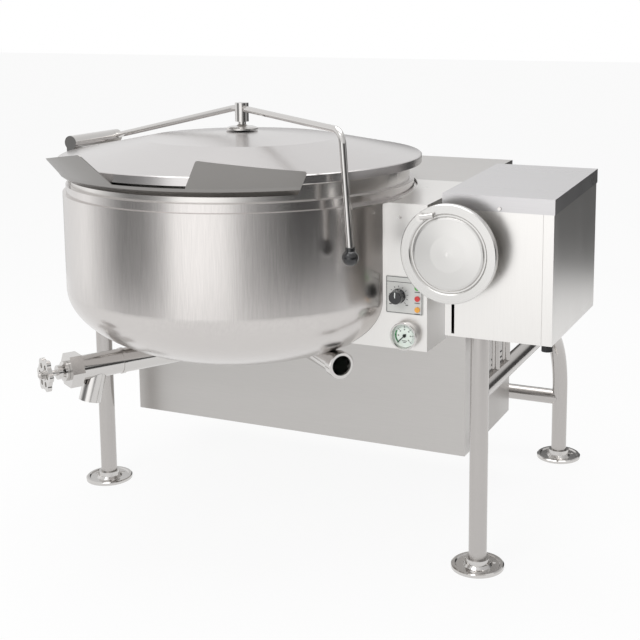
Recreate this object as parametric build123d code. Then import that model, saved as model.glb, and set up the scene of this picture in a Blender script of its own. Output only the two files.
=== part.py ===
from build123d import *
import math
import os

# Steam jacketed tilting kettle on an open tube frame, tilted by a worm and sector.
# Millimetres, +Z up.  Origin: floor point at the centre of the front left foot, straight
# under the tilt axis.  +X runs along the tilt axis, +Y runs to the rear.

os.makedirs("parts", exist_ok=True)

# ---- driving dimensions ------------------------------------------------------------
seat = 0.3                 # gap between pieces that are welded or bolted together
play = 0.08                # radial play of a pin or shaft in its bore
sheet = 3.0                # sheet metal of housing, control box and console

tube_r = 22.25             # leg tube
tube_wall = 2.5
frame_width = 1163.0       # left leg to right leg
frame_depth = 661.0        # tilt axis to rear legs
right_leg_lead = 112.0     # front right leg stands this far ahead of the axis
rail_z = 441.0             # centre of the side rails
bend_r = 230.0             # rear leg bends forward into the rail
cross_z = 186.0            # centre of the rear cross tube
post_r = 10.0              # wiring posts under the console
post_places = (15.0, 100.0)

foot_r = 65.0
foot_rise = 9.0
foot_collar_r = 31.0
foot_collar_z = 24.0
foot_pcd = 83.0
foot_hole_r = 5.0
foot_hole_count = 3

wheel_z = 818.0            # hand wheel and worm shaft height
worm_x = 1161.0
gear_module = 4.0
gear_teeth = 52            # teeth of the full circle, the sector keeps a part
worm_pitch_r = 16.0
gear_pitch_r = gear_module * gear_teeth / 2
axis_z = wheel_z - gear_pitch_r - worm_pitch_r
sector_half = 12.0
tooth_pitch = math.pi * gear_module
tooth_mid = 4.6            # tooth thickness on the pitch line, less than half the pitch
tooth_flank = math.tan(math.radians(20))
trunnion_r = 22.0

kettle_x = 526.0
kettle_y = -105.0
jacket_r = 441.0
jacket_wall = 4.0
shoulder_z = 903.0
dish_z = 668.0
dish_depth = 196.0
band_r = 433.0
band_z = 923.0
bowl_r = 421.0
bowl_wall = 3.0
bowl_depth = 176.0
rim_z = 965.0

lip_root_z = 937.0
lip_edge_r = 454.0
lip_edge_z = 960.0
wing_tip_r = 508.0
wing_near_z = 1028.0       # height beside the pouring gap
wing_far_z = 996.0         # height at the outer end
wing_axis = 2.5            # the pouring gap is turned this far towards the console
wing_from_low = 11.5
wing_from_high = 16.5
wing_to = 43.5
wing_wall = 2.5
wing_corner = 7.0

lid_r = 452.0
lid_edge_z = 20.0
lid_crease_r = 240.0
lid_crease_rise = 41.0
lid_crown_rise = 59.0
lid_wall = 2.5
hub_base_r = 40.0
hub_post_r = 10.0

hinge_x = 56.0
hinge_z = 998.0
hinge_r = 18.0
hinge_front = -183.0
hinge_split = -8.0
hinge_rear = 18.0
hinge_pin_r = 8.0
bar_r = 8.0
bar_top_z = 1096.0
bar_bend_r = 30.0
arm_bend_x = 927.0
arm_end_x = 946.0
arm_end_y = -370.0
arm_end_z = 1080.0
ball_r = 18.5
ball_z = 800.0

housing_left = 36.0
housing_right = 1050.0
housing_front = 112.0
housing_rear = 505.0
housing_bottom = 181.0
deck_front_z = 901.0
deck_rear_z = 921.0
collar_r = 456.0
service_bolt_places = (420.0, 452.0)
service_bolt_y = 200.0

box_left = 820.0
box_right = 1066.0
box_front = -210.0
box_bottom = 555.0
plate_left = 964.0
plate_right = 1056.0
plate_bottom = 641.0
plate_top = 730.0
plate_t = 2.0
knob_x = 996.0
knob_z = 683.0
knob_r = 16.5
knob_depth = 24.0
lamp_x = 1043.0
lamp_top_z = 706.0
lamp_step = 26.0
lamp_count = 3
lamp_r = 5.0
gauge_x = 1015.0
gauge_z = 592.0
gauge_r = 33.0
gauge_depth = 22.0

console_left = 1134.0
console_right = 1379.0
console_front = -275.0
console_rear = 118.0
console_bottom = 620.0
cover_band = 34.0
cover_lap = 2.0
cover_left = 1126.0
cover_front_z = 942.0
cover_rear_z = 960.0
carrier_left = 1112.0
carrier_t = 15.0
carrier_half = 75.0
carrier_low = 636.0
carrier_high = 770.0
flange_slot = 7.0           # slot between the left flange and the console front
flange_w = 15.0
bumper_r = 12.0
bumper_h = 14.0

hand_wheel_r = 110.0
hand_wheel_y = -330.0
wheel_rim_w = 22.0
wheel_t = 14.0
wheel_sheet = 3.5             # wall of the pressed rim and disc
handle_angle = 128.0
worm_shaft_r = 9.0
worm_length = 64.0

valve_z = 490.0
valve_x = 321.0
valve_y = -359.0
valve_dir = (-0.508, -0.861, 0.0)
valve_r = 30.0
valve_bore_r = 25.0
valve_inner = 195.0
valve_length = 109.0
spout_at = 62.0
spout_lean = 24.0
spout_r = 26.0
spout_bore_r = 22.0
spout_drop = 84.0
valve_stroke = 25.0
stem_r = 7.0
valve_wheel_at = 186.0
valve_wheel_r = 41.5
valve_lobes = 6

sight_z = 500.0
sight_x = 749.0
sight_y = -139.0
sight_dir = (0.785, -0.62, 0.0)
sight_r = 27.5
sight_length = 132.0
sight_ring_r = 32.5

# ---- tied values -------------------------------------------------------------------
kettle = (kettle_x, kettle_y)
cover_slope = (cover_rear_z - cover_front_z) / (console_rear - console_front)
deck_slope = (deck_rear_z - deck_front_z) / (housing_rear - box_front)
lid_seat_z = rim_z + seat
hub_z = lid_seat_z + lid_crown_rise + lid_edge_z
carrier_right = carrier_left + carrier_t
gear_outer_r = gear_pitch_r + gear_module
gear_root_r = gear_pitch_r - 1.25 * gear_module
worm_outer_r = worm_pitch_r + gear_module
worm_root_r = worm_pitch_r - 1.25 * gear_module
mesh_turn = math.degrees((worm_length - tooth_pitch) / 2 / gear_pitch_r)
lead_angle = math.degrees(math.atan(tooth_pitch / (2 * math.pi * worm_pitch_r)))


# ---- helpers -----------------------------------------------------------------------
def save(name, *solids):
    shape = solids[0] if len(solids) == 1 else Compound(children=list(solids))
    export_step(shape, f"parts/{name}.step")


def block(x0, x1, y0, y1, z0, z1):
    centre = Pos((x0 + x1) / 2, (y0 + y1) / 2, (z0 + z1) / 2)
    return centre * Box(x1 - x0, y1 - y0, z1 - z0)


def rod(start, end, radius):
    a = Vector(*start)
    b = Vector(*end)
    plane = Plane(origin=a, z_dir=b - a)
    return extrude(plane * Circle(radius), amount=(b - a).length)


def turned(profile, origin=(0, 0, 0), direction=(0, 0, 1)):
    face = make_face(Plane.XZ * Polyline(*profile, close=True))
    body = revolve(face, Axis.Z)
    return Plane(origin=origin, z_dir=direction).location * body


def along(base, direction, s, drop=0.0):
    return tuple(b + s * d for b, d in zip(base[:2], direction[:2])) + (base[2] - drop,)


def vessel(radius, depth, top):
    steps = 24
    bottom = []
    for i in range(steps + 1):
        angle = math.pi / 2 * i / steps
        bottom.append((radius * math.sin(angle), dish_z - depth * math.cos(angle)))
    curve = Spline(*bottom, tangents=((1, 0), (0, 1)))
    sides = Polyline((radius, dish_z), (radius, top), (0, top), (0, dish_z - depth))
    face = make_face(Plane.XZ * (curve + sides))
    return Pos(kettle_x, kettle_y, 0) * revolve(face, Axis.Z)


def ring(outer, inner, z0, z1, centre=kettle):
    low = (centre[0], centre[1], z0)
    high = (centre[0], centre[1], z1)
    return rod(low, high, outer) - rod(low, high, inner)


def bent_wire(points, radius):
    corners = [Vector(*p) for p in points]
    edges = []
    last = corners[0]
    for before, corner, after in zip(corners, corners[1:], corners[2:]):
        u = (before - corner).normalized()
        v = (after - corner).normalized()
        half = math.radians(u.get_angle(v)) / 2
        reach = radius / math.tan(half)
        start = corner + u * reach
        end = corner + v * reach
        middle = corner + (u + v).normalized() * (radius / math.sin(half) - radius)
        edges.append(Line(last, start))
        edges.append(ThreePointArc(start, middle, end))
        last = end
    edges.append(Line(last, corners[-1]))
    return Wire(edges)


def bent_rod(points, bend, radius):
    path = bent_wire(points, bend)
    plane = Plane(origin=points[0], z_dir=Vector(*points[1]) - Vector(*points[0]))
    return sweep(plane * Circle(radius), path=path, transition=Transition.ROUND)


def hexagon(across, length, origin, direction):
    plane = Plane(origin=origin, z_dir=direction)
    return extrude(plane * RegularPolygon(across / math.sqrt(3), 6), amount=length)


def deck_z(y):
    return deck_front_z + deck_slope * (y - box_front)


def cover_z(y):
    return cover_front_z + cover_slope * (y - console_front)


def console_top(y):
    return cover_z(y) - cover_band


def side_profile(x0, x1, y0, y1, z0, inset, top_of=deck_z):
    points = [
        (x0, y0 + inset, z0 + inset),
        (x0, y1 - inset, z0 + inset),
        (x0, y1 - inset, top_of(y1) - inset),
        (x0, y0 + inset, top_of(y0) - inset),
    ]
    face = make_face(Polyline(*points, close=True))
    return extrude(face, amount=x1 - x0, dir=(1, 0, 0))


def one(shape):
    return max(shape.solids(), key=lambda s: s.volume)


# ---- open tube frame ---------------------------------------------------------------
def front_leg(x, y, top):
    return rod((x, y, foot_rise), (x, y, top), tube_r) - rod(
        (x, y, foot_rise), (x, y, top), tube_r - tube_wall
    )


def bent_leg(x, front_y):
    points = [(x, frame_depth, foot_rise), (x, frame_depth, rail_z), (x, front_y, rail_z)]
    outer = bent_rod(points, bend_r, tube_r)
    inner = bent_rod(points, bend_r, tube_r - tube_wall)
    coped = rod((x, front_y, 0), (x, front_y, axis_z), tube_r + seat)
    return one(outer - inner - coped)


def rear_cross_tube():
    a = (0, frame_depth, cross_z)
    b = (frame_width, frame_depth, cross_z)
    tube = rod(a, b, tube_r) - rod(a, b, tube_r - tube_wall)
    for x in (0, frame_width):
        tube -= rod((x, frame_depth, 0), (x, frame_depth, rail_z), tube_r + seat)
    return one(tube)


def floor_flange(x, y, first_hole):
    profile = [
        (0, 0),
        (foot_r, 0),
        (foot_r, foot_rise - 2),
        (foot_r - 3, foot_rise),
        (foot_r - 9, foot_rise),
        (foot_r - 12, foot_rise - 3),
        (foot_collar_r + 5, foot_rise - 3),
        (foot_collar_r, foot_rise + 3),
        (foot_collar_r - 2, foot_collar_z),
        (tube_r + seat, foot_collar_z),
        (tube_r + seat, foot_rise - seat),
        (0, foot_rise - seat),
    ]
    foot = turned(profile, (x, y, 0))
    for i in range(foot_hole_count):
        angle = math.radians(first_hole + 360 / foot_hole_count * i)
        hx = x + foot_pcd / 2 * math.cos(angle)
        hy = y + foot_pcd / 2 * math.sin(angle)
        foot -= rod((hx, hy, -1), (hx, hy, foot_rise + 5), foot_hole_r)
    return one(foot)


def left_bearing():
    base = block(-24, 24, -48, 48, axis_z - 46, axis_z - 36)
    web = block(-20, 20, -30, 30, axis_z - 36, axis_z)
    head = rod((-20, 0, axis_z), (20, 0, axis_z), 34)
    body = base + web + head
    body -= rod((-30, 0, axis_z), (30, 0, axis_z), trunnion_r + play)
    for y in (-38, 38):
        body -= rod((0, y, axis_z - 60), (0, y, axis_z), 5.5)
    return one(body)


def bearing_pad():
    pad = block(-24, 24, -48, 48, axis_z - 56, axis_z - 46 - seat)
    for y in (-38, 38):
        pad -= rod((0, y, axis_z - 70), (0, y, axis_z), 5.5)
    return one(pad)


def bearing_bolts():
    bolts = []
    for y in (-38, 38):
        shank = rod((0, y, axis_z - 60), (0, y, axis_z - 36 + seat), 5)
        head = hexagon(16, 7, (0, y, axis_z - 36 + seat), (0, 0, 1))
        bolts.append(one(shank + head))
    return bolts


# ---- kettle ------------------------------------------------------------------------
def valve_point(s, drop=0.0):
    return along((valve_x, valve_y, valve_z), valve_dir, s, drop)


def sight_point(s):
    return along((sight_x, sight_y, sight_z), sight_dir, s)


def kettle_jacket():
    shell = vessel(jacket_r, dish_depth, shoulder_z)
    shell -= vessel(jacket_r - jacket_wall, dish_depth - jacket_wall, shoulder_z - jacket_wall)
    shell += ring(band_r, band_r - jacket_wall, shoulder_z - jacket_wall, band_z)
    shell += ring(band_r, bowl_r + seat, band_z - jacket_wall, band_z)
    shell -= rod((*kettle, shoulder_z - 20), (*kettle, band_z + 5), bowl_r + seat)
    shell -= rod(valve_point(-valve_inner - 1), valve_point(valve_length), valve_r + seat)
    return one(shell)


def inner_bowl():
    shell = vessel(bowl_r, bowl_depth, rim_z)
    shell -= vessel(bowl_r - bowl_wall, bowl_depth - bowl_wall, rim_z + 5)
    shell -= rod(valve_point(-valve_inner + 6), valve_point(0), valve_bore_r)
    bead = turned(
        [
            (bowl_r - 0.5, rim_z - 7),
            (bowl_r + 3, rim_z - 5),
            (bowl_r + 4, rim_z - 2),
            (bowl_r + 3, rim_z),
            (bowl_r - 0.5, rim_z),
        ],
        (*kettle, 0),
    )
    return one(shell + bead)


def wedge(from_angle, to_angle, radius, z0, z1):
    a = math.radians(from_angle - 90)
    b = math.radians(to_angle - 90)
    m = (a + b) / 2
    far = radius * 1.6
    points = [(0, 0)]
    for angle in (a, m, b):
        points.append((far * math.cos(angle), far * math.sin(angle)))
    face = make_face(Polyline(*points, close=True))
    return Pos(kettle_x, kettle_y, z0) * extrude(face, amount=z1 - z0)


def wing_blank(side):
    middle = (wing_from_high + wing_to) / 2

    def across(angle, radius):
        return radius * math.sin(math.radians(angle - middle))

    corners = [
        (across(wing_from_low, lip_edge_r), lip_edge_z - 4),
        (across(wing_from_high, wing_tip_r), wing_near_z),
        (across(wing_to, wing_tip_r), wing_far_z),
        (across(wing_to, lip_edge_r), lip_edge_z - 4),
    ]
    outline = Polygon(*corners, align=None)
    tops = outline.vertices().sort_by(Axis.Y)[-2:]
    outline = fillet(tops, wing_corner)
    turn = math.radians(wing_axis + side * middle - 90)
    out = Vector(math.cos(turn), math.sin(turn), 0)
    tangent = Vector(-math.sin(turn), math.cos(turn), 0) * side
    plane = Plane(origin=(kettle_x, kettle_y, 0), x_dir=tangent, z_dir=tangent.cross(Vector(0, 0, 1)))
    return extrude(plane * outline, amount=wing_tip_r * 1.4, dir=out)


def pour_lip():
    root = bowl_r + seat
    rise = (wing_near_z - lip_edge_z) + 10
    tip_r = lip_edge_r + rise * (wing_tip_r - lip_edge_r) / (wing_near_z - lip_edge_z)
    lip = [
        (root, lip_root_z),
        (root + 8, lip_root_z + 1),
        (lip_edge_r - 5, lip_edge_z - 8),
        (lip_edge_r, lip_edge_z),
        (lip_edge_r - wing_wall, lip_edge_z),
        (lip_edge_r - 5 - wing_wall, lip_edge_z - 6),
        (root + 7, lip_root_z + 1 + wing_wall),
        (root, lip_root_z + wing_wall),
    ]
    wing = [
        (lip_edge_r - 5, lip_edge_z - 8),
        (lip_edge_r, lip_edge_z),
        (tip_r, lip_edge_z + rise),
        (tip_r - wing_wall, lip_edge_z + rise),
        (lip_edge_r - wing_wall, lip_edge_z),
        (lip_edge_r - 5 - wing_wall, lip_edge_z - 6),
    ]
    body = turned(lip, (*kettle, 0)) & wedge(wing_axis - wing_to, wing_axis + wing_to, wing_tip_r, 900, 1100)
    raised = turned(wing, (*kettle, 0))
    for side in (-1, 1):
        body += raised & wing_blank(side)
    return one(body)


def deck_collar():
    low = deck_front_z - 4
    body = ring(collar_r, jacket_r + seat, low, shoulder_z)
    body &= wedge(62, 150, collar_r, 800, 1000)
    return one(body - deck_cutter())


def deck_cutter():
    return side_profile(
        -50, 1200, -400, 700, 100, 0, lambda y: deck_z(y) + seat
    )


def trunnion_shaft(x0, x1):
    return rod((x0, 0, axis_z), (x1, 0, axis_z), trunnion_r)


def left_trunnion():
    pad = rod((62, 0, axis_z), (140, 0, axis_z), 62)
    pad += rod((40, 0, axis_z), (62, 0, axis_z), 40)
    pad += trunnion_shaft(-24, 62)
    return one(pad - rod((*kettle, 400), (*kettle, 900), jacket_r + seat))


def right_trunnion():
    start = box_right + seat
    body = rod((start, 0, axis_z), (start + 12, 0, axis_z), 60)
    body += rod((start + 12, 0, axis_z), (start + 24, 0, axis_z), 34)
    body += trunnion_shaft(start, worm_x + sector_half + 14)
    for i in range(4):
        y, z = flange_place(i)
        body -= rod((start - 1, y, z), (start + 20, y, z), 5.5)
    return one(body)


def flange_place(i):
    angle = math.radians(45 + 90 * i)
    return 47 * math.cos(angle), axis_z + 47 * math.sin(angle)


def trunnion_bolts():
    bolts = []
    start = box_right + seat + 12 + seat
    for i in range(4):
        y, z = flange_place(i)
        shank = rod((box_right - 12, y, z), (start, y, z), 5)
        head = hexagon(16, 6, (start, y, z), (1, 0, 0))
        bolts.append(one(shank + head))
    return bolts


# ---- lid and its swing bar ---------------------------------------------------------
def lid_shell():
    z = lid_seat_z
    e = lid_edge_z
    profile = [
        (0, z + e + lid_crown_rise - lid_wall),
        (lid_crease_r, z + e + lid_crease_rise - lid_wall),
        (lid_r - lid_wall - 4, z + e - lid_wall - 1),
        (lid_r - lid_wall - 4, z),
        (lid_r, z),
        (lid_r, z + e - 2),
        (lid_r - 2, z + e),
        (lid_r - 8, z + e + 1),
        (lid_crease_r, z + e + lid_crease_rise),
        (0, z + e + lid_crown_rise),
    ]
    body = turned(profile, (*kettle, 0))
    foot = ring(lid_r - 2, bowl_r - 8, lid_seat_z, lid_seat_z + lid_wall)
    return one(body + foot)


def lid_hub():
    base = turned(
        [
            (0, hub_z + seat),
            (hub_base_r, hub_z + seat),
            (hub_base_r, hub_z + 4),
            (hub_base_r - 8, hub_z + 7),
            (16, hub_z + 9),
            (hub_post_r, hub_z + 13),
            (hub_post_r, hub_z + 44),
            (0, hub_z + 44),
        ],
        (*kettle, 0),
    )
    return one(base)


def arm_points():
    lift = (bar_top_z - hinge_z) / (kettle_x - hinge_x)
    knee_y = (hinge_split + hinge_rear) / 2 + 2
    return [
        (hinge_x, knee_y, hinge_z),
        (kettle_x - 28, kettle_y + 8, bar_top_z),
        (kettle_x + 14, kettle_y - 8, bar_top_z + 2 * lift),
        (arm_bend_x, arm_end_y, arm_end_z),
        (arm_end_x, arm_end_y, ball_z + ball_r - 6),
    ]


def lid_arm():
    points = arm_points()
    bar = bent_rod(points, bar_bend_r, bar_r)
    knuckle = rod((hinge_x, hinge_split, hinge_z), (hinge_x, hinge_rear, hinge_z), hinge_r)
    body = bar + knuckle
    body -= rod((hinge_x, hinge_split - 5, hinge_z), (hinge_x, hinge_rear + 5, hinge_z), hinge_pin_r)
    low = hub_z + 20
    body += rod((*kettle, low), (*kettle, bar_top_z + 15), 17)
    body -= rod((*kettle, low - 1), (*kettle, hub_z + 46), hub_post_r + play)
    return one(body)


def hinge_pin():
    pin = rod((hinge_x, hinge_front + 6, hinge_z), (hinge_x, hinge_rear + 3, hinge_z), hinge_pin_r - play)
    head = rod((hinge_x, hinge_rear + seat, hinge_z), (hinge_x, hinge_rear + 5, hinge_z), 12)
    return one(pin + head)


def hinge_barrel():
    front = (hinge_x, hinge_front, hinge_z)
    body = rod(front, (hinge_x, hinge_split - seat, hinge_z), hinge_r)
    body -= rod(
        (hinge_x, hinge_front + 5, hinge_z), (hinge_x, hinge_split + 5, hinge_z), hinge_pin_r
    )
    low = band_z + seat
    front = hinge_front + 2
    body += block(hinge_x - 14, hinge_x + 8, front, front + 40, low, hinge_z - 12)
    body += block(hinge_x - 14, hinge_x + 80, front, front + 40, low, rim_z - 9)
    return one(body - rod((*kettle, 900), (*kettle, 1000), bowl_r + seat))


def ball_knob():
    centre = (arm_end_x, arm_end_y, ball_z)
    knob = Pos(*centre) * Sphere(ball_r)
    knob += rod((arm_end_x, arm_end_y, ball_z), (arm_end_x, arm_end_y, ball_z + ball_r + 5), 11)
    bend, tip = (Vector(*p) for p in arm_points()[-2:])
    lean = (bend - tip).normalized()
    return one(knob - rod(tuple(tip - lean * seat), tuple(tip + lean * 60), bar_r + seat))


# ---- housing and controls ----------------------------------------------------------
def kettle_room():
    return vessel(jacket_r + seat, dish_depth + seat, rim_z + 60)


def housing_shell():
    outer = side_profile(
        housing_left, housing_right, housing_front, housing_rear, housing_bottom, 0
    )
    inner = side_profile(
        housing_left + sheet,
        housing_right - sheet,
        housing_front,
        housing_rear,
        housing_bottom,
        sheet,
    )
    body = outer - inner - kettle_room()
    for i in range(6):
        z = 300 + 16 * i
        body -= block(housing_right - 8, housing_right + 2, 330, 430, z, z + 5)
    for z in service_bolt_places:
        inside = (housing_right - 20, service_bolt_y, z)
        body -= rod(inside, (housing_right + 5, service_bolt_y, z), 4 + play)
    return one(body)


def service_bolts():
    bolts = []
    for z in service_bolt_places:
        start = (housing_right - 8, service_bolt_y, z)
        face = (housing_right + seat, service_bolt_y, z)
        bolts.append(one(rod(start, face, 4) + hexagon(13, 5, face, (1, 0, 0))))
    return bolts


def control_box():
    rear = housing_front - seat
    outer = side_profile(box_left, box_right, box_front, rear, box_bottom, 0)
    inner = side_profile(box_left - 1, box_right - sheet, box_front, rear, box_bottom, sheet)
    body = outer - inner - kettle_room()
    body -= rod((gauge_x, box_front - 5, gauge_z), (gauge_x, box_front + 9, gauge_z), 8)
    body -= rod((knob_x, box_front - 5, knob_z), (knob_x, box_front + 9, knob_z), 7)
    for i in range(4):
        y, z = flange_place(i)
        body -= rod((box_right - 10, y, z), (box_right + 5, y, z), 5 + play)
    return one(body)


def control_plate():
    front = box_front - seat - plate_t
    plate = block(plate_left, plate_right, front, front + plate_t, plate_bottom, plate_top)
    plate = fillet(plate.edges().filter_by(Axis.Y), 3)
    plate -= rod((knob_x, front - 5, knob_z), (knob_x, front + 9, knob_z), 7)
    for i in range(lamp_count):
        z = lamp_top_z - lamp_step * i
        plate -= rod((lamp_x, front - 5, z), (lamp_x, front + 9, z), lamp_r + play)
    return one(plate)


def pilot_lamps():
    lamps = []
    front = box_front - seat - plate_t
    for i in range(lamp_count):
        z = lamp_top_z - lamp_step * i
        body = rod((lamp_x, box_front - seat, z), (lamp_x, front - 3, z), lamp_r)
        lamps.append(one(body + rod((lamp_x, front - seat, z), (lamp_x, front - 3, z), lamp_r + 1.5)))
    return lamps


def thermostat_knob():
    front = box_front - 2 * seat - plate_t
    profile = [
        (0, 0),
        (knob_r + 1, 0),
        (knob_r + 1, 3),
        (knob_r, 4),
        (knob_r - 1, knob_depth - 1),
        (knob_r - 2, knob_depth),
        (0, knob_depth),
    ]
    body = turned(profile, (knob_x, front, knob_z), (0, -1, 0))
    body += rod((knob_x, front - 1, knob_z), (knob_x, box_front + 14, knob_z), 7 - play)
    for i in range(12):
        angle = math.radians(30 * i)
        gx = knob_x + (knob_r + 1) * math.cos(angle)
        gz = knob_z + (knob_r + 1) * math.sin(angle)
        body -= rod((gx, front - 5, gz), (gx, front - knob_depth - 1, gz), 2.2)
    return one(body)


def gauge_case():
    back = box_front - seat
    profile = [
        (0, 0),
        (gauge_r - 3, 0),
        (gauge_r - 3, gauge_depth - 8),
        (gauge_r, gauge_depth - 7),
        (gauge_r, gauge_depth - 1),
        (gauge_r - 1, gauge_depth),
        (gauge_r - 4, gauge_depth),
        (gauge_r - 5, gauge_depth - 3),
        (gauge_r - 5, gauge_depth - 12),
        (0, gauge_depth - 12),
    ]
    body = turned(profile, (gauge_x, back, gauge_z), (0, -1, 0))
    body += rod((gauge_x, back - 1, gauge_z), (gauge_x, box_front + 16, gauge_z), 8 - play)
    body -= rod((gauge_x, back - gauge_depth, gauge_z), (gauge_x, back - 6, gauge_z), 2)
    return one(body)


def gauge_dial():
    back = box_front - seat - gauge_depth + 12 - seat
    disc = rod((gauge_x, back, gauge_z), (gauge_x, back - 1.5, gauge_z), gauge_r - 5.3)
    return one(disc - rod((gauge_x, back + 1, gauge_z), (gauge_x, back - 3, gauge_z), 2.4))


def gauge_needle():
    back = box_front - seat - gauge_depth + 12 - seat - 2.3
    body = rod((gauge_x, box_front - seat - 6 - seat, gauge_z), (gauge_x, back, gauge_z), 2 - play)
    body += rod((gauge_x, back, gauge_z), (gauge_x, back - 2, gauge_z), 4)
    hand = block(-1.1, 1.1, back - 1.5, back - 0.5, -6, gauge_r - 9)
    tilt = Pos(gauge_x, 0, gauge_z) * Rot(0, -135, 0)
    return one(body + tilt * hand)


def gauge_lens():
    front = box_front - seat - gauge_depth + 3
    return one(rod((gauge_x, front, gauge_z), (gauge_x, front + 2, gauge_z), gauge_r - 5.3))


# ---- console, hand wheel, worm and sector ------------------------------------------
def console_shell():
    outer = side_profile(
        console_left, console_right, console_front, console_rear, console_bottom, 0, console_top
    )
    inner = block(
        console_left + sheet,
        console_right - sheet,
        console_front + sheet,
        console_rear - sheet,
        console_bottom + sheet,
        cover_rear_z,
    )
    body = outer - inner
    slot_left = console_left + flange_w
    body -= block(
        slot_left, slot_left + flange_slot, console_front - 1, console_front + sheet,
        console_bottom + 2 * sheet, cover_rear_z,
    )
    body -= rod((console_left - 5, 0, axis_z), (console_left + 9, 0, axis_z), trunnion_r + 8)
    body -= rod(
        (worm_x, console_front - 5, wheel_z), (worm_x, console_front + 9, wheel_z), worm_shaft_r + 6
    )
    body -= block(console_right - 24, console_right - 22, console_front - 1, console_front + 1.5, 0, 2000)
    return one(body)


def console_cover():
    front = console_front - cover_lap
    rear = console_rear + cover_lap
    right = console_right + cover_lap
    low = console_top(console_front) + seat
    body = side_profile(cover_left, right, front, rear, low, 0, cover_z)
    body -= side_profile(
        cover_left + sheet, right - sheet, front, rear, low - sheet, sheet, cover_z
    )
    below = side_profile(
        cover_left - 5, right + 5, front - 5, rear + 5, console_bottom, 0,
        lambda y: console_top(y) + seat,
    )
    return one(body - below)


def axis_carrier():
    plate = block(
        carrier_left, carrier_right, -carrier_half, carrier_half, carrier_low, carrier_high
    )
    plate = fillet(plate.edges().filter_by(Axis.X), 8)
    plate -= rod((carrier_left - 5, 0, axis_z), (carrier_right + 5, 0, axis_z), 30)
    return one(plate)


def carrier_places():
    inset = 18
    ys = (inset - carrier_half, carrier_half - inset)
    zs = (carrier_low + inset, carrier_high - inset)
    return [(y, z) for y in ys for z in zs]


def carrier_spacers():
    spacers = []
    for y, z in carrier_places():
        spacers.append(
            one(rod((carrier_right + seat, y, z), (console_left - seat, y, z), 14))
        )
    return spacers


def right_bearing():
    body = rod((carrier_left - 16, 0, axis_z), (carrier_left - seat, 0, axis_z), 46)
    body += rod((carrier_left - 16, 0, axis_z), (console_left + 12, 0, axis_z), 30 - seat)
    return one(body - rod((1000, 0, axis_z), (1300, 0, axis_z), trunnion_r + play))


def tooth_polygon(root, tip, sink):
    low = tooth_mid / 2 + (1.25 * gear_module + sink) * tooth_flank
    high = tooth_mid / 2 - gear_module * tooth_flank
    return Polygon((-low, root - sink), (low, root - sink), (high, tip), (-high, tip), align=None)


def gear_sector():
    span_from = -104.0
    span_to = 14.0
    a = math.radians(span_from)
    b = math.radians(span_to)
    m = (a + b) / 2
    points = []
    for angle in (a, m, b):
        points.append((gear_root_r * math.sin(angle), gear_root_r * math.cos(angle)))
    edges = Line((0, 0), points[0]) + ThreePointArc(*points) + Line(points[2], (0, 0))
    plane = Plane(origin=(worm_x - sector_half, 0, axis_z), x_dir=(0, -1, 0), z_dir=(-1, 0, 0))
    fan = extrude(plane * make_face(edges), amount=-2 * sector_half)
    fan += rod((worm_x - sector_half, 0, axis_z), (worm_x + sector_half, 0, axis_z), 38)
    count = int((span_to - span_from) * gear_teeth / 360)
    for i in range(count):
        turn = (0.5 + i) * 360 / gear_teeth
        tooth = extrude(Plane.YZ * tooth_polygon(gear_root_r, gear_outer_r, 1.5),
                        amount=sector_half, both=True)
        tooth = Rot(0, 0, -lead_angle) * tooth
        fan += Pos(worm_x, 0, axis_z) * Rot(mesh_turn - turn, 0, 0) * tooth
    fan -= rod((worm_x - 40, 0, axis_z), (worm_x + 40, 0, axis_z), trunnion_r + play)
    fan -= rod((worm_x, -80, wheel_z), (worm_x, 80, wheel_z), worm_root_r + 0.8)
    return one(fan)


def worm_shaft():
    half = worm_length / 2
    start = -half - tooth_pitch
    height = worm_length + 2 * tooth_pitch
    path = Helix(pitch=tooth_pitch, height=height, radius=worm_root_r)
    low = tooth_mid / 2 + (1.25 * gear_module + 1) * tooth_flank
    high = tooth_mid / 2 - gear_module * tooth_flank
    points = [(-1, -low), (-1, low), (worm_outer_r - worm_root_r, high), (worm_outer_r - worm_root_r, -high)]
    frame = Plane(origin=path @ 0, x_dir=(1, 0, 0), z_dir=path % 0)
    thread = sweep(frame * Polygon(*points, align=None), path=path, is_frenet=True)
    thread &= rod((0, 0, tooth_pitch), (0, 0, height - tooth_pitch), worm_outer_r + 2)
    lie = Plane(origin=(worm_x, start, wheel_z), z_dir=(0, 1, 0)).location
    thread = lie * thread
    body = rod((worm_x, -half, wheel_z), (worm_x, half, wheel_z), worm_root_r + 0.2)
    body += thread
    body += rod((worm_x, hand_wheel_y + 4, wheel_z), (worm_x, 70, wheel_z), worm_shaft_r)
    return one(body)


def shaft_bearings():
    bearings = []
    for y in (-58, 46):
        body = block(console_left + sheet + seat, worm_x + 16, y - 6, y + 6, wheel_z - 16, wheel_z + 16)
        bearings.append(
            one(body - rod((worm_x, y - 20, wheel_z), (worm_x, y + 20, wheel_z), worm_shaft_r + play))
        )
    return bearings


def shaft_bush():
    front = console_front - seat
    body = rod((worm_x, front - 8, wheel_z), (worm_x, front, wheel_z), 24)
    body += rod((worm_x, front - 8, wheel_z), (worm_x, console_front + 14, wheel_z), worm_shaft_r + 5.7)
    return one(
        body - rod((worm_x, -400, wheel_z), (worm_x, 0, wheel_z), worm_shaft_r + play)
    )


def handle_place():
    reach = hand_wheel_r - wheel_rim_w / 2
    angle = math.radians(handle_angle)
    return worm_x + reach * math.cos(angle), wheel_z + reach * math.sin(angle)


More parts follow.
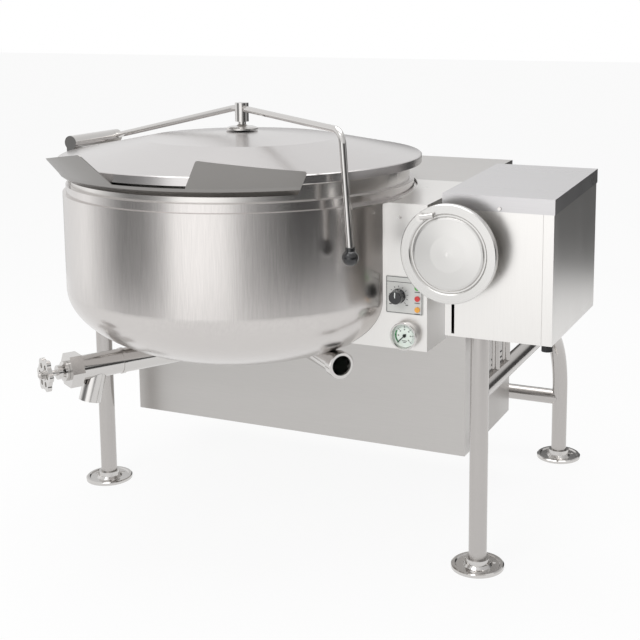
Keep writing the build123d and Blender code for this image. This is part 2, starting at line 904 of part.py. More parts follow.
def hand_wheel():
    r = hand_wheel_r
    inner = r - wheel_rim_w
    profile = [
        (worm_shaft_r, wheel_t + 10),
        (20, wheel_t + 10),
        (22, wheel_t),
        (24, wheel_sheet + 3),
        (inner - 9, wheel_sheet + 4),
        (inner - 3, wheel_t),
        (inner + wheel_sheet, wheel_t),
        (inner + wheel_sheet, wheel_sheet + 1),
        (r - wheel_sheet, wheel_sheet + 1),
        (r - wheel_sheet, wheel_t),
        (r, wheel_t),
        (r, 2),
        (r - 2, 0),
        (inner + 2, 0),
        (inner, 2),
        (inner - 2, 5),
        (inner - 5, 5),
        (inner - 8, 2),
        (inner - 12, 1),
        (40, -1),
        (0, -2),
        (0, 6),
        (worm_shaft_r, 6),
    ]
    front = hand_wheel_y - wheel_t / 2
    shape = turned([(p, -h) for p, h in profile], (worm_x, front, wheel_z), (0, -1, 0))
    x, z = handle_place()
    return one(shape - rod((x, front - 20, z), (x, front + 30, z), 5 + play))


def wheel_handle():
    x, z = handle_place()
    front = hand_wheel_y - wheel_t / 2
    pin = rod((x, front + 8, z), (x, front - 8, z), 5)
    body = pin + rod((x, front - seat, z), (x, front - 8, z), 9)
    body += rod((x, front - 6, z), (x + 30, front - 6, z + 6), 6)
    return one(body)


def console_posts():
    posts = []
    for y in post_places:
        post = rod((frame_width, y, rail_z), (frame_width, y, console_bottom - seat), post_r)
        cope = rod((frame_width, y - 40, rail_z), (frame_width, y + 40, rail_z), tube_r + seat)
        posts.append(one(post - cope))
    return posts


def corner_bumper():
    x = console_right - bumper_r - 2
    y = console_front + bumper_r + 2
    top = console_bottom - seat
    return one(rod((x, y, top - bumper_h), (x, y, top), bumper_r))


# ---- draw off valve ----------------------------------------------------------------
def spout_ends():
    top = valve_point(spout_at)
    mouth = along(top, valve_dir, spout_lean, spout_drop)
    return top, mouth


def draw_off_body():
    outer = rod(valve_point(-valve_inner), valve_point(valve_length), valve_r)
    outer += rod(valve_point(-3), valve_point(5), valve_r + 2)
    body = outer - rod(valve_point(-valve_inner + 6), valve_point(valve_length + 5), valve_bore_r)
    top, mouth = spout_ends()
    body -= rod(top, mouth, spout_bore_r)
    body -= vessel(bowl_r + seat, bowl_depth + seat, rim_z)
    return one(body)


def draw_off_spout():
    top, mouth = spout_ends()
    body = rod(top, mouth, spout_r) - rod(top, along(mouth, valve_dir, spout_lean, spout_drop), spout_bore_r)
    body -= rod(valve_point(0), valve_point(valve_length + 40), valve_r + seat)
    return max(body.solids(), key=lambda s: -s.center().Z)


def union_nut():
    start = valve_point(valve_length + seat)
    nut = hexagon(76, 30, start, valve_dir)
    nut -= rod(valve_point(valve_length - 5), valve_point(valve_length + 40), stem_r + 8)
    return one(nut)


def bonnet():
    s = valve_length + 30 + 2 * seat
    profile = [
        (stem_r + play, -26),
        (stem_r + 7, -26),
        (stem_r + 7, 0),
        (24, 0),
        (24, 10),
        (17, 14),
        (17, 24),
        (stem_r + play, 24),
    ]
    return one(turned(profile, valve_point(s), valve_dir))


def valve_plunger():
    disc = rod(valve_point(26), valve_point(36), valve_bore_r - play)
    disc += rod(valve_point(36), valve_point(48), 13)
    return one(disc - rod(valve_point(38), valve_point(60), stem_r + play))


def valve_stem():
    stem = rod(valve_point(38 + seat), valve_point(valve_wheel_at + 14), stem_r)
    stem += rod(valve_point(valve_wheel_at + 12), valve_point(valve_wheel_at + 19), 9)
    return one(stem)


def valve_wheel():
    origin = valve_point(valve_wheel_at)
    plane = Plane(origin=origin, z_dir=valve_dir)
    outline = Circle(valve_wheel_r - 7)
    for i in range(valve_lobes):
        angle = 360 / valve_lobes * i
        outline += Rot(0, 0, angle) * Pos(valve_wheel_r - 11, 0) * Circle(11)
    for i in range(valve_lobes):
        angle = 360 / valve_lobes * i
        outline -= Rot(0, 0, angle) * Pos(valve_wheel_r - 18, 0) * Circle(6)
    body = extrude(plane * outline, amount=10)
    body += extrude(plane * Circle(13), amount=12 - seat)
    bore = stem_r + play
    return one(body - rod(valve_point(valve_wheel_at - 5), valve_point(valve_wheel_at + 20), bore))


# ---- sight stub --------------------------------------------------------------------
def sight_tube():
    tube = rod(sight_point(-46), sight_point(sight_length - 14), sight_r)
    tube -= rod(sight_point(-38), sight_point(sight_length), sight_r - 4)
    return one(tube - vessel(jacket_r + seat, dish_depth + seat, rim_z))


def sight_ring():
    s = sight_length - 26
    profile = [
        (sight_r + seat, 0),
        (sight_ring_r - 1, 0),
        (sight_ring_r, 1),
        (sight_ring_r, 24),
        (sight_ring_r - 2, 26),
        (sight_r - 3, 26),
        (sight_r - 5, 22),
        (sight_r - 5, 12 + seat),
        (sight_r + seat, 12 + seat),
    ]
    return one(turned(profile, sight_point(s), sight_dir))


def sight_glass():
    s = sight_length - 26 + 15
    return one(rod(sight_point(s), sight_point(s + 4), sight_r - 5 - seat))


# ---- write every node --------------------------------------------------------------
feet = (
    (0, 0, 60),
    (0, frame_depth, 90),
    (frame_width, -right_leg_lead, -90),
    (frame_width, frame_depth, 150),
)
save("front_leg_left", front_leg(0, 0, axis_z - 56 - seat))
save("front_leg_right", front_leg(frame_width, -right_leg_lead, console_bottom - seat))
save("bent_leg_left", bent_leg(0, 0))
save("bent_leg_right", bent_leg(frame_width, -right_leg_lead))
save("rear_cross_tube", rear_cross_tube())
save("floor_flanges", *[floor_flange(*foot) for foot in feet])
save("left_bearing", left_bearing())
save("bearing_pad", bearing_pad())
save("bearing_bolts", *bearing_bolts())
save("console_posts", *console_posts())
save("console_shell", console_shell())
save("console_cover", console_cover())
save("axis_carrier", axis_carrier())
save("carrier_spacers", *carrier_spacers())
save("right_bearing", right_bearing())
save("shaft_bearings", *shaft_bearings())
save("shaft_bush", shaft_bush())
save("corner_bumper", corner_bumper())
save("worm_shaft", worm_shaft())
save("hand_wheel", hand_wheel())
save("wheel_handle", wheel_handle())
save("kettle_jacket", kettle_jacket())
save("inner_bowl", inner_bowl())
save("pour_lip", pour_lip())
save("left_trunnion", left_trunnion())
save("right_trunnion", right_trunnion())
save("trunnion_bolts", *trunnion_bolts())
save("gear_sector", gear_sector())
save("housing_shell", housing_shell())
save("service_bolts", *service_bolts())
save("deck_collar", deck_collar())
save("control_box", control_box())
save("control_plate", control_plate())
save("pilot_lamps", *pilot_lamps())
save("gauge_case", gauge_case())
save("gauge_dial", gauge_dial())
save("gauge_lens", gauge_lens())
save("gauge_needle", gauge_needle())
save("thermostat_knob", thermostat_knob())
save("hinge_barrel", hinge_barrel())
save("hinge_pin", hinge_pin())
save("lid_arm", lid_arm())
save("ball_knob", ball_knob())
save("lid_shell", lid_shell())
save("lid_hub", lid_hub())
save("draw_off_body", draw_off_body())
save("draw_off_spout", draw_off_spout())
save("union_nut", union_nut())
save("bonnet", bonnet())
save("valve_plunger", valve_plunger())
save("valve_stem", valve_stem())
save("valve_wheel", valve_wheel())
save("sight_tube", sight_tube())
save("sight_ring", sight_ring())
save("sight_glass", sight_glass())
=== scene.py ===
import bpy
import bmesh
import math
from mathutils import Matrix, Vector


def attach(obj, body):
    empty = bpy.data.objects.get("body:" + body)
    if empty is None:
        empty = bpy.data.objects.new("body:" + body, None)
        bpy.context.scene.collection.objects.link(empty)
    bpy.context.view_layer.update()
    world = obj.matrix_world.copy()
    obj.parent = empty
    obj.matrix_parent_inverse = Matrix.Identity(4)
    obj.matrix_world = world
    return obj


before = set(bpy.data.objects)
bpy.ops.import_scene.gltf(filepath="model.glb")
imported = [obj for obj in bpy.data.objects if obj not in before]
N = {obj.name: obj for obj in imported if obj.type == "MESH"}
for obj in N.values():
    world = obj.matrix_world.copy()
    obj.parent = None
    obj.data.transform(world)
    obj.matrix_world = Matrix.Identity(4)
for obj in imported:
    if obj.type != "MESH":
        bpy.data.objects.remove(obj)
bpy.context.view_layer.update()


# ---------------------------------------------------------------- node helpers
def link(nt, a, b):
    nt.links.new(a, b)


def new_node(nt, kind, place=(0, 0), **values):
    n = nt.nodes.new(kind)
    n.location = place
    for key, value in values.items():
        if hasattr(n, key):
            setattr(n, key, value)
    return n


def ramp(nt, source, stops, place=(0, 0), interpolation="LINEAR"):
    n = new_node(nt, "ShaderNodeValToRGB", place)
    n.color_ramp.interpolation = interpolation
    while len(n.color_ramp.elements) < len(stops):
        n.color_ramp.elements.new(0.5)
    for e, (p, c) in zip(n.color_ramp.elements, stops):
        e.position = p
        e.color = (c[0], c[1], c[2], 1) if isinstance(c, tuple) else (c, c, c, 1)
    link(nt, source, n.inputs[0])
    return n


def brushed_group():
    """Fine brushing lines, soft smears and finger marks, shared by every steel."""
    g = bpy.data.node_groups.new("BrushedSteel", "ShaderNodeTree")
    face = g.interface
    face.new_socket("Coordinates", in_out="INPUT", socket_type="NodeSocketVector")
    for name, kind, value in (
        ("Colour", "NodeSocketColor", (0.6, 0.6, 0.6, 1)),
        ("Roughness", "NodeSocketFloat", 0.28),
        ("Line Strength", "NodeSocketFloat", 0.08),
        ("Smear Strength", "NodeSocketFloat", 0.1),
    ):
        s = face.new_socket(name, in_out="INPUT", socket_type=kind)
        s.default_value = value
    face.new_socket("Colour", in_out="OUTPUT", socket_type="NodeSocketColor")
    face.new_socket("Roughness", in_out="OUTPUT", socket_type="NodeSocketFloat")
    face.new_socket("Height", in_out="OUTPUT", socket_type="NodeSocketFloat")
    i = new_node(g, "NodeGroupInput", (-900, 0))
    o = new_node(g, "NodeGroupOutput", (700, 0))
    fine = new_node(g, "ShaderNodeTexNoise", (-600, 200))
    fine.inputs["Scale"].default_value = 1.0
    fine.inputs["Detail"].default_value = 3.0
    link(g, i.outputs["Coordinates"], fine.inputs["Vector"])
    smear = new_node(g, "ShaderNodeTexNoise", (-600, -100))
    smear.inputs["Scale"].default_value = 0.012
    smear.inputs["Detail"].default_value = 5.0
    smear.inputs["Distortion"].default_value = 0.4
    link(g, i.outputs["Coordinates"], smear.inputs["Vector"])
    shade = new_node(g, "ShaderNodeMath", (-350, 200), operation="MULTIPLY_ADD")
    link(g, fine.outputs[0], shade.inputs[0])
    link(g, i.outputs["Line Strength"], shade.inputs[1])
    shade.inputs[2].default_value = 1.0
    half = new_node(g, "ShaderNodeMath", (-350, 50), operation="MULTIPLY")
    link(g, i.outputs["Line Strength"], half.inputs[0])
    half.inputs[1].default_value = 0.5
    centred = new_node(g, "ShaderNodeMath", (-150, 200), operation="SUBTRACT")
    link(g, shade.outputs[0], centred.inputs[0])
    link(g, half.outputs[0], centred.inputs[1])
    tint = new_node(g, "ShaderNodeVectorMath", (100, 200), operation="SCALE")
    link(g, i.outputs["Colour"], tint.inputs[0])
    link(g, centred.outputs[0], tint.inputs["Scale"])
    link(g, tint.outputs[0], o.inputs["Colour"])
    rough = new_node(g, "ShaderNodeMath", (-150, -100), operation="MULTIPLY_ADD")
    link(g, smear.outputs[0], rough.inputs[0])
    link(g, i.outputs["Smear Strength"], rough.inputs[1])
    link(g, i.outputs["Roughness"], rough.inputs[2])
    rough2 = new_node(g, "ShaderNodeMath", (100, -100), operation="MULTIPLY_ADD")
    link(g, fine.outputs[0], rough2.inputs[0])
    rough2.inputs[1].default_value = 0.06
    link(g, rough.outputs[0], rough2.inputs[2])
    link(g, rough2.outputs[0], o.inputs["Roughness"])
    link(g, fine.outputs[0], o.inputs["Height"])
    return g


BRUSHED = brushed_group()


def steel(name, colour, roughness=0.28, stretch=(1.0, 1.0, 0.02), lines=0.14, smear=0.12,
          around=None, scale=900.0):
    """Brushed metal. stretch sets the brushing direction; around brushes in rings about an axis."""
    m = bpy.data.materials.new(name)
    m.use_nodes = True
    nt = m.node_tree
    bsdf = nt.nodes["Principled BSDF"]
    bsdf.inputs["Metallic"].default_value = 1.0
    coords = new_node(nt, "ShaderNodeTexCoord", (-1400, 0))
    vector = coords.outputs["Object"]
    if around is not None:
        sub = new_node(nt, "ShaderNodeVectorMath", (-1200, 0), operation="SUBTRACT")
        sub.inputs[1].default_value = around[0]
        link(nt, vector, sub.inputs[0])
        sep = new_node(nt, "ShaderNodeSeparateXYZ", (-1050, 0))
        link(nt, sub.outputs[0], sep.inputs[0])
        a, b = [k for k in range(3) if k != around[1]]
        square = new_node(nt, "ShaderNodeMath", (-900, -50), operation="MULTIPLY")
        link(nt, sep.outputs[b], square.inputs[0])
        link(nt, sep.outputs[b], square.inputs[1])
        sq = new_node(nt, "ShaderNodeMath", (-900, -200), operation="MULTIPLY")
        link(nt, sep.outputs[a], sq.inputs[0])
        link(nt, sep.outputs[a], sq.inputs[1])
        add = new_node(nt, "ShaderNodeMath", (-750, -100), operation="ADD")
        link(nt, sq.outputs[0], add.inputs[0])
        link(nt, square.outputs[0], add.inputs[1])
        root = new_node(nt, "ShaderNodeMath", (-600, -100), operation="SQRT")
        link(nt, add.outputs[0], root.inputs[0])
        join = new_node(nt, "ShaderNodeCombineXYZ", (-450, -100))
        link(nt, root.outputs[0], join.inputs[0])
        vector = join.outputs[0]
    mapping = new_node(nt, "ShaderNodeMapping", (-300, 0))
    mapping.inputs["Scale"].default_value = [scale * s for s in stretch]
    link(nt, vector, mapping.inputs["Vector"])
    grp = new_node(nt, "ShaderNodeGroup", (-100, 0))
    grp.node_tree = BRUSHED
    grp.inputs["Colour"].default_value = (*colour, 1)
    grp.inputs["Roughness"].default_value = roughness
    grp.inputs["Line Strength"].default_value = lines
    grp.inputs["Smear Strength"].default_value = smear
    link(nt, mapping.outputs[0], grp.inputs["Coordinates"])
    link(nt, grp.outputs["Colour"], bsdf.inputs["Base Color"])
    link(nt, grp.outputs["Roughness"], bsdf.inputs["Roughness"])
    bump = new_node(nt, "ShaderNodeBump", (100, -200))
    bump.inputs["Strength"].default_value = 0.05
    bump.inputs["Distance"].default_value = 0.0004
    link(nt, grp.outputs["Height"], bump.inputs["Height"])
    link(nt, bump.outputs[0], bsdf.inputs["Normal"])
    return m


def plain(name, colour, roughness=0.4, metal=0.0, coat=0.0, clear=False, speckle=0.0):
    m = bpy.data.materials.new(name)
    m.use_nodes = True
    nt = m.node_tree
    bsdf = nt.nodes["Principled BSDF"]
    bsdf.inputs["Base Color"].default_value = (*colour, 1)
    bsdf.inputs["Roughness"].default_value = roughness
    bsdf.inputs["Metallic"].default_value = metal
    bsdf.inputs["Coat Weight"].default_value = coat
    if speckle:
        coords = new_node(nt, "ShaderNodeTexCoord", (-700, 0))
        noise = new_node(nt, "ShaderNodeTexNoise", (-500, 0))
        noise.inputs["Scale"].default_value = 260.0
        link(nt, coords.outputs["Object"], noise.inputs["Vector"])
        bump = new_node(nt, "ShaderNodeBump", (-200, -200))
        bump.inputs["Strength"].default_value = speckle
        bump.inputs["Distance"].default_value = 0.0005
        link(nt, noise.outputs[0], bump.inputs["Height"])
        link(nt, bump.outputs[0], bsdf.inputs["Normal"])
    if clear:
        bsdf.inputs["Transmission Weight"].default_value = 1.0
        bsdf.inputs["IOR"].default_value = 1.1
    return m


KETTLE = (0.526, -0.105, 0.0)
S_JACKET = steel("Jacket Steel", (0.62, 0.595, 0.58), 0.13, (1, 1, 0.02), 0.30, 0.1)
S_RIM = steel("Rim Steel", (0.66, 0.64, 0.62), 0.14, (0.02, 0.02, 1), 0.16, 0.1)
S_LID = steel("Lid Steel", (0.60, 0.58, 0.575), 0.16, (1, 1, 1), 0.22, 0.08, around=(KETTLE, 2))
S_PANEL = steel("Panel Steel", (0.54, 0.525, 0.51), 0.22, (0.02, 0.6, 1), 0.10, 0.14)
S_DECK = steel("Deck Steel", (0.58, 0.57, 0.575), 0.2, (0.02, 1, 1), 0.12, 0.12)
# Console Steel has a lighter, whiter base colour than the other steels: painted brightness standing in for
# the bright reflection the console front shows
S_CONSOLE = steel("Console Steel", (0.78, 0.765, 0.745), 0.22, (1, 1, 0.02), 0.08, 0.10)
S_TUBE = steel("Tube Steel", (0.50, 0.48, 0.465), 0.12, (1, 1, 0.05), 0.10, 0.1)
S_BRIGHT = steel("Polished Steel", (0.62, 0.605, 0.59), 0.06, (1, 1, 1), 0.05, 0.06)
S_WHEEL = steel("Wheel Steel", (0.64, 0.63, 0.615), 0.2, (1, 1, 1), 0.10, 0.08,
                around=((1.161, 0, 0.818), 1))
S_WING = steel("Wing Steel", (0.30, 0.29, 0.28), 0.26, (1, 1, 0.05), 0.12, 0.12)
S_GEAR = steel("Gear Steel", (0.35, 0.35, 0.35), 0.35, (1, 1, 1), 0.1, 0.1)
M_IRON = plain("Bearing Iron", (0.10, 0.10, 0.105), 0.5, 0.3, speckle=0.3)
M_BRONZE = plain("Bronze", (0.45, 0.30, 0.14), 0.35, 1.0)
M_BLACK = plain("Black Knob", (0.008, 0.008, 0.009), 0.22, 0.0, 0.5)
M_RUBBER = plain("Rubber", (0.015, 0.015, 0.015), 0.75, speckle=0.4)
M_DIAL = plain("Dial White", (0.86, 0.88, 0.85), 0.5)
M_NEEDLE = plain("Needle Black", (0.01, 0.01, 0.01), 0.4)
M_INK = plain("Printed Black", (0.012, 0.012, 0.014), 0.45)
M_PALE = plain("Plate Pale", (0.62, 0.62, 0.60), 0.4, 0.6)
M_ARC = plain("Dial Green", (0.10, 0.42, 0.16), 0.45)
M_GLASS = plain("Clear Glass", (0.95, 0.98, 0.96), 0.03, clear=True)



def lamp_lenses():
    """One lens moulding each in green, red and amber, from the top down."""
    m = plain("Lamp Lenses", (0.5, 0.1, 0.05), 0.2, 0, 0.6)
    nt = m.node_tree
    coords = new_node(nt, "ShaderNodeTexCoord", (-700, 0))
    sep = new_node(nt, "ShaderNodeSeparateXYZ", (-500, 0))
    link(nt, coords.outputs["Object"], sep.inputs[0])
    span = new_node(nt, "ShaderNodeMapRange", (-300, 0))
    span.inputs["From Min"].default_value = 0.641
    span.inputs["From Max"].default_value = 0.719
    link(nt, sep.outputs[2], span.inputs[0])
    colours = ramp(nt, span.outputs[0], [(0.0, (0.85, 0.38, 0.03)), (0.33, (0.65, 0.02, 0.02)),
                                         (0.67, (0.12, 0.42, 0.10))], (-100, 0), "CONSTANT")
    link(nt, colours.outputs[0], nt.nodes["Principled BSDF"].inputs["Base Color"])
    return m


M_LAMPS = lamp_lenses()

PAINT = {
    "kettle_jacket": S_JACKET, "inner_bowl": S_RIM, "pour_lip": S_WING, "lid_shell": S_LID,
    "lid_hub": S_BRIGHT, "lid_arm": S_BRIGHT, "ball_knob": M_BLACK, "thermostat_knob": M_BLACK,
    "housing_shell": S_PANEL, "control_box": S_CONSOLE, "deck_collar": S_RIM,
    "console_shell": S_CONSOLE, "console_cover": S_DECK, "axis_carrier": S_CONSOLE,
    "carrier_spacers": S_BRIGHT, "hand_wheel": S_WHEEL, "wheel_handle": S_BRIGHT,
    "worm_shaft": S_GEAR, "gear_sector": S_GEAR, "left_bearing": M_IRON, "right_bearing": M_IRON,
    "shaft_bearings": M_BRONZE, "shaft_bush": S_BRIGHT, "valve_plunger": M_BRONZE,
    "bearing_pad": S_TUBE, "bearing_bolts": S_BRIGHT, "trunnion_bolts": S_BRIGHT,
    "service_bolts": S_BRIGHT, "front_leg_left": S_TUBE, "front_leg_right": S_TUBE,
    "bent_leg_left": S_TUBE, "bent_leg_right": S_TUBE, "rear_cross_tube": S_TUBE,
    "console_posts": S_TUBE, "floor_flanges": S_BRIGHT, "corner_bumper": M_RUBBER,
    "control_plate": M_PALE, "pilot_lamps": M_LAMPS, "gauge_case": S_BRIGHT, "gauge_dial": M_DIAL,
    "gauge_needle": M_NEEDLE, "gauge_lens": M_GLASS, "sight_glass": M_GLASS,
    "hinge_barrel": S_BRIGHT, "hinge_pin": S_BRIGHT, "draw_off_body": S_BRIGHT, "draw_off_spout": S_BRIGHT,
    "union_nut": S_BRIGHT, "bonnet": S_BRIGHT, "valve_stem": S_BRIGHT, "valve_wheel": S_BRIGHT,
    "sight_tube": S_BRIGHT, "sight_ring": S_BRIGHT, "left_trunnion": S_GEAR,
    "right_trunnion": S_GEAR,
}
for name, obj in N.items():
    m = PAINT.get(name)
    if m is not None:
        obj.data.materials.clear()
        obj.data.materials.append(m)


# ---------------------------------------------------------------- small details
# places on the front faces, as (x, z) in metres
KNOB = (0.996, 0.683)
GAUGE = (1.015, 0.592)
LAMP_X = 1.043
LAMP_HEIGHTS = (0.706, 0.680, 0.654)
BOX_SCREW = (0.998, 0.868)
COVER_SCREW = (1.258, 0.915)
PLATE_EDGES = (0.964, 1.056, 0.641, 0.730)
VALVE_ROOT = Vector((0.321, -0.359, 0.490))
VALVE_OUT = Vector((-0.508, -0.861, 0.0)).normalized()


def scene_object(name, bm, material, smooth=None):
    me = bpy.data.meshes.new(name)
    bm.to_mesh(me)
    bm.free()
    obj = bpy.data.objects.new(name, me)
    bpy.context.scene.collection.objects.link(obj)
    me.materials.append(material)
    if smooth is not None:
        me.polygons.foreach_set("use_smooth", [True] * len(me.polygons))
        me.set_sharp_from_angle(angle=math.radians(smooth))
    return obj


def front_of(node):
    return min(v.co.y for v in N[node].data.vertices)


def add_bar(bm, x, z, width, height, y, turn=0.0, depth=0.0003):
    """A thin printed bar on a face that looks towards -Y."""
    made = bmesh.ops.create_cube(bm, size=1.0)["verts"]
    bmesh.ops.scale(bm, verts=made, vec=(width, depth, height))
    bmesh.ops.rotate(bm, verts=made, cent=(0, 0, 0), matrix=Matrix.Rotation(-turn, 3, "Y"))
    bmesh.ops.translate(bm, verts=made, vec=(x, y - depth / 2, z))


def add_ticks(bm, centre, y, inner, outer, first, last, count, width):
    """Scale marks about a centre, angles in degrees from +X towards +Z."""
    for i in range(count):
        angle = math.radians(first + (last - first) * i / (count - 1))
        reach = (inner + outer) / 2
        add_bar(bm, centre[0] + reach * math.cos(angle), centre[1] + reach * math.sin(angle),
                outer - inner, width, y, angle)


def add_disc(bm, place, radius, depth, segments=32):
    """A low round head that looks towards -Y."""
    turn = Matrix.Rotation(math.radians(90), 4, "X")
    made = bmesh.ops.create_cone(bm, cap_ends=True, segments=segments, radius1=radius,
                                 radius2=radius * 0.82, depth=depth, matrix=turn)["verts"]
    bmesh.ops.translate(bm, verts=made, vec=(place[0], place[1] - depth / 2, place[2]))


def plate_print():
    """Border, knob scale and short plain marks of the control plate."""
    y = front_of("control_plate") - 0.00005
    left, right, low, high = PLATE_EDGES
    line = 0.0012
    bm = bmesh.new()
    for x in (left + 0.002, right - 0.002):
        add_bar(bm, x, (low + high) / 2, line, high - low - 0.004, y)
    for z in (low + 0.002, high - 0.002, high - 0.014):
        add_bar(bm, (left + right) / 2, z, right - left - 0.004, line, y)
    add_ticks(bm, KNOB, y, 0.0205, 0.0245, -45, 225, 11, 0.0011)
    for angle in (-45, 225):
        a = math.radians(angle)
        add_bar(bm, KNOB[0] + 0.029 * math.cos(a), KNOB[1] + 0.029 * math.sin(a), 0.006, 0.002, y)
    for z in LAMP_HEIGHTS:
        add_bar(bm, LAMP_X - 0.0005, z - 0.0105, 0.013, 0.0016, y)
    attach(scene_object("control_plate_print", bm, M_INK), "kettle")


def knob_pointer():
    bm = bmesh.new()
    add_bar(bm, KNOB[0], KNOB[1] + 0.0065, 0.0022, 0.013, front_of("thermostat_knob") + 0.00005)
    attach(scene_object("knob_pointer_line", bm, M_DIAL), "thermostat")


def gauge_print():
    """Ticks, short number marks and the green working arc of the steam gauge."""
    y = front_of("gauge_dial") - 0.00005
    bm = bmesh.new()
    add_ticks(bm, GAUGE, y, 0.0200, 0.0245, -45, 225, 31, 0.0006)
    add_ticks(bm, GAUGE, y, 0.0180, 0.0245, -45, 225, 7, 0.0012)
    add_ticks(bm, GAUGE, y, 0.0135, 0.0160, -45, 225, 7, 0.0030)
    add_bar(bm, GAUGE[0], GAUGE[1] - 0.0125, 0.012, 0.0016, y)
    add_bar(bm, GAUGE[0], GAUGE[1] - 0.0160, 0.007, 0.0014, y)
    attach(scene_object("gauge_marks", bm, M_INK), "kettle")
    bm = bmesh.new()
    add_ticks(bm, GAUGE, y, 0.0205, 0.0240, 150, 228, 40, 0.0011)
    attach(scene_object("gauge_green_arc", bm, M_ARC), "kettle")


def panel_screws():
    bm = bmesh.new()
    add_disc(bm, (BOX_SCREW[0], front_of("control_box"), BOX_SCREW[1]), 0.0042, 0.002)
    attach(scene_object("box_screw", bm, S_BRIGHT, 40), "kettle")
    bm = bmesh.new()
    add_disc(bm, (COVER_SCREW[0], front_of("console_cover"), COVER_SCREW[1]), 0.0048, 0.0024)
    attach(scene_object("cover_screw", bm, S_BRIGHT, 40), "frame")


def valve_screw():
    """Screw in the middle of the draw-off hand wheel, drawn as a plain round head without its slot."""
    out = VALVE_OUT
    tip = max(v.co.dot(out) for v in N["valve_stem"].data.vertices)
    place = VALVE_ROOT + out * (tip - VALVE_ROOT.dot(out))
    bm = bmesh.new()
    turn = out.to_track_quat("Z", "Y").to_matrix().to_4x4()
    made = bmesh.ops.create_cone(bm, cap_ends=True, segments=24, radius1=0.0065, radius2=0.005,
                                 depth=0.003, matrix=turn)["verts"]
    bmesh.ops.translate(bm, verts=made, vec=place + out * 0.0015)
    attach(scene_object("valve_wheel_screw", bm, S_TUBE, 40), "draw_off_spindle")


plate_print()
knob_pointer()
gauge_print()
panel_screws()
valve_screw()


# ---------------------------------------------------------------- stage, light, camera
def camera():
    cam = bpy.data.cameras.new("Camera")
    cam.sensor_width = 36.0
    cam.lens = 65.26
    cam.shift_x = -0.1176
    cam.shift_y = -0.1956
    cam.clip_start = 0.05
    cam.clip_end = 60.0
    obj = bpy.data.objects.new("Camera", cam)
    obj.location = (1.9977, -2.6427, 1.330)
    obj.rotation_euler = (math.radians(81.15), 0, math.radians(22.57))
    bpy.context.scene.collection.objects.link(obj)
    bpy.context.scene.camera = obj


def area(name, place, target, size, power, size_y=None):
    lamp = bpy.data.lights.new(name, "AREA")
    lamp.shape = "RECTANGLE"
    lamp.size = size
    lamp.size_y = size_y or size
    lamp.energy = power
    obj = bpy.data.objects.new(name, lamp)
    obj.location = place
    obj.rotation_euler = (Vector(target) - Vector(place)).to_track_quat("-Z", "Y").to_euler()
    bpy.context.scene.collection.objects.link(obj)
    return obj


def background_rays(nt, place):
    """1 for rays that show the background: camera, glossy and transmission rays."""
    path = new_node(nt, "ShaderNodeLightPath", place)
    total = path.outputs["Is Camera Ray"]
    for k, ray in enumerate(("Is Glossy Ray", "Is Transmission Ray")):
        both = new_node(nt, "ShaderNodeMath", (place[0] + 180 * (k + 1), place[1]), operation="MAXIMUM")
        link(nt, total, both.inputs[0])
        link(nt, path.outputs[ray], both.inputs[1])
        total = both.outputs[0]
    return total


def floor_material():
    m = bpy.data.materials.new("Floor Pale")
    m.use_nodes = True
    nt = m.node_tree
    bsdf = nt.nodes["Principled BSDF"]
    bsdf.inputs["Base Color"].default_value = (0.86, 0.86, 0.86, 1)
    bsdf.inputs["Roughness"].default_value = 0.8
    out = nt.nodes["Material Output"]
    glow = new_node(nt, "ShaderNodeEmission", (0, -200))
    glow.inputs[0].default_value = (1, 1, 1, 1)
    share = new_node(nt, "ShaderNodeMath", (0, 300), operation="MULTIPLY")
    share.inputs[1].default_value = 0.9
    link(nt, background_rays(nt, (-600, 300)), share.inputs[0])
    mix = new_node(nt, "ShaderNodeMixShader", (200, 0))
    link(nt, share.outputs[0], mix.inputs[0])
    link(nt, bsdf.outputs[0], mix.inputs[1])
    link(nt, glow.outputs[0], mix.inputs[2])
    link(nt, mix.outputs[0], out.inputs[0])
    return m


# studio wall seen only in the metal: (direction in degrees from +X, brightness low, brightness high)
WALL = [
    (-180, 1.05, 1.0), (-166, 1.25, 1.0), (-152, 0.80, 0.95), (-134, 0.22, 0.9),
    (-118, 0.30, 0.9), (-108, 0.60, 1.0), (-101, 1.40, 1.0), (-90, 1.50, 1.0),
    (-74, 1.35, 1.0), (-62, 0.55, 1.0), (-48, 0.24, 0.95), (-34, 0.05, 0.8),
    (-12, 0.07, 0.7), (8, 0.45, 0.7), (24, 0.42, 0.6), (44, 0.14, 0.7),
    (58, 0.07, 0.8), (112, 0.09, 0.9), (134, 0.60, 0.95), (160, 0.90, 1.0),
    (180, 1.05, 1.0),
]


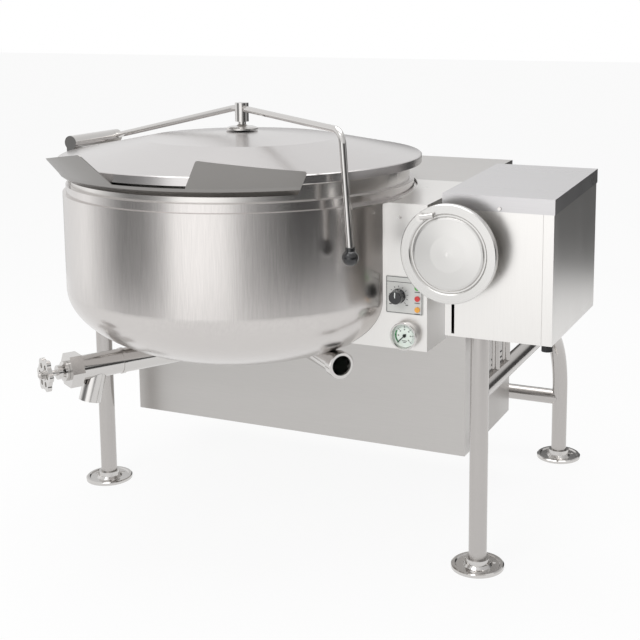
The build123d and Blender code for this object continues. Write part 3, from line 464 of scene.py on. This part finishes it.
def wall_material():
    m = bpy.data.materials.new("Studio Wall")
    m.use_nodes = True
    nt = m.node_tree
    nt.nodes.clear()
    out = new_node(nt, "ShaderNodeOutputMaterial", (700, 0))
    glow = new_node(nt, "ShaderNodeEmission", (500, 0))
    coords = new_node(nt, "ShaderNodeTexCoord", (-700, 0))
    sep = new_node(nt, "ShaderNodeSeparateXYZ", (-500, 0))
    link(nt, coords.outputs["Object"], sep.inputs[0])
    turn = new_node(nt, "ShaderNodeMath", (-300, 100), operation="ARCTAN2")
    link(nt, sep.outputs[1], turn.inputs[0])
    link(nt, sep.outputs[0], turn.inputs[1])
    unit = new_node(nt, "ShaderNodeMapRange", (-100, 100))
    unit.inputs["From Min"].default_value = -math.pi
    unit.inputs["From Max"].default_value = math.pi
    link(nt, turn.outputs[0], unit.inputs[0])
    low = ramp(nt, unit.outputs[0], [((d + 180) / 360, v / 1.5) for d, v, _ in WALL], (100, 200))
    high = ramp(nt, unit.outputs[0], [((d + 180) / 360, v / 1.5) for d, _, v in WALL], (100, -50))
    rise = new_node(nt, "ShaderNodeMapRange", (-100, -200))
    rise.interpolation_type = "SMOOTHSTEP"
    rise.inputs["From Min"].default_value = 1.0
    rise.inputs["From Max"].default_value = 1.5
    link(nt, sep.outputs[2], rise.inputs[0])
    mix = new_node(nt, "ShaderNodeMix", (350, 0), data_type="RGBA")
    link(nt, rise.outputs[0], mix.inputs["Factor"])
    link(nt, low.outputs[0], mix.inputs[6])
    link(nt, high.outputs[0], mix.inputs[7])
    link(nt, mix.outputs[2], glow.inputs[0])
    glow.inputs[1].default_value = 1.5
    link(nt, glow.outputs[0], out.inputs[0])
    return m


def stage():
    bm = bmesh.new()
    bmesh.ops.create_grid(bm, x_segments=1, y_segments=1, size=30.0)
    floor = scene_object("Floor", bm, floor_material())
    bm = bmesh.new()
    bmesh.ops.create_cone(bm, segments=96, radius1=3.3, radius2=3.3, depth=4.2)
    bmesh.ops.translate(bm, verts=bm.verts, vec=(0, 0, 2.05))
    wall = scene_object("Studio Wall", bm, wall_material())
    wall.location = (0.6, 0.1, 0)
    wall.visible_camera = False
    wall.visible_shadow = False
    wall.visible_diffuse = False
    wall.visible_transmission = False
    world = bpy.data.worlds.new("World")
    bpy.context.scene.world = world
    world.use_nodes = True
    nt = world.node_tree
    bg = nt.nodes["Background"]
    pale = new_node(nt, "ShaderNodeMapRange", (-200, 100))
    pale.inputs["To Min"].default_value = 0.55
    pale.inputs["To Max"].default_value = 1.0
    link(nt, background_rays(nt, (-800, 200)), pale.inputs[0])
    bg.inputs[0].default_value = (1, 1, 1, 1)
    link(nt, pale.outputs[0], bg.inputs[1])


camera()
stage()
area("Key", (0.0, -3.4, 3.2), (0.6, 0.0, 0.6), 2.4, 70, 1.6)
area("Top", (0.6, 0.2, 3.9), (0.6, 0.0, 0.9), 3.2, 75)

scene = bpy.context.scene
scene.view_settings.view_transform = "Standard"
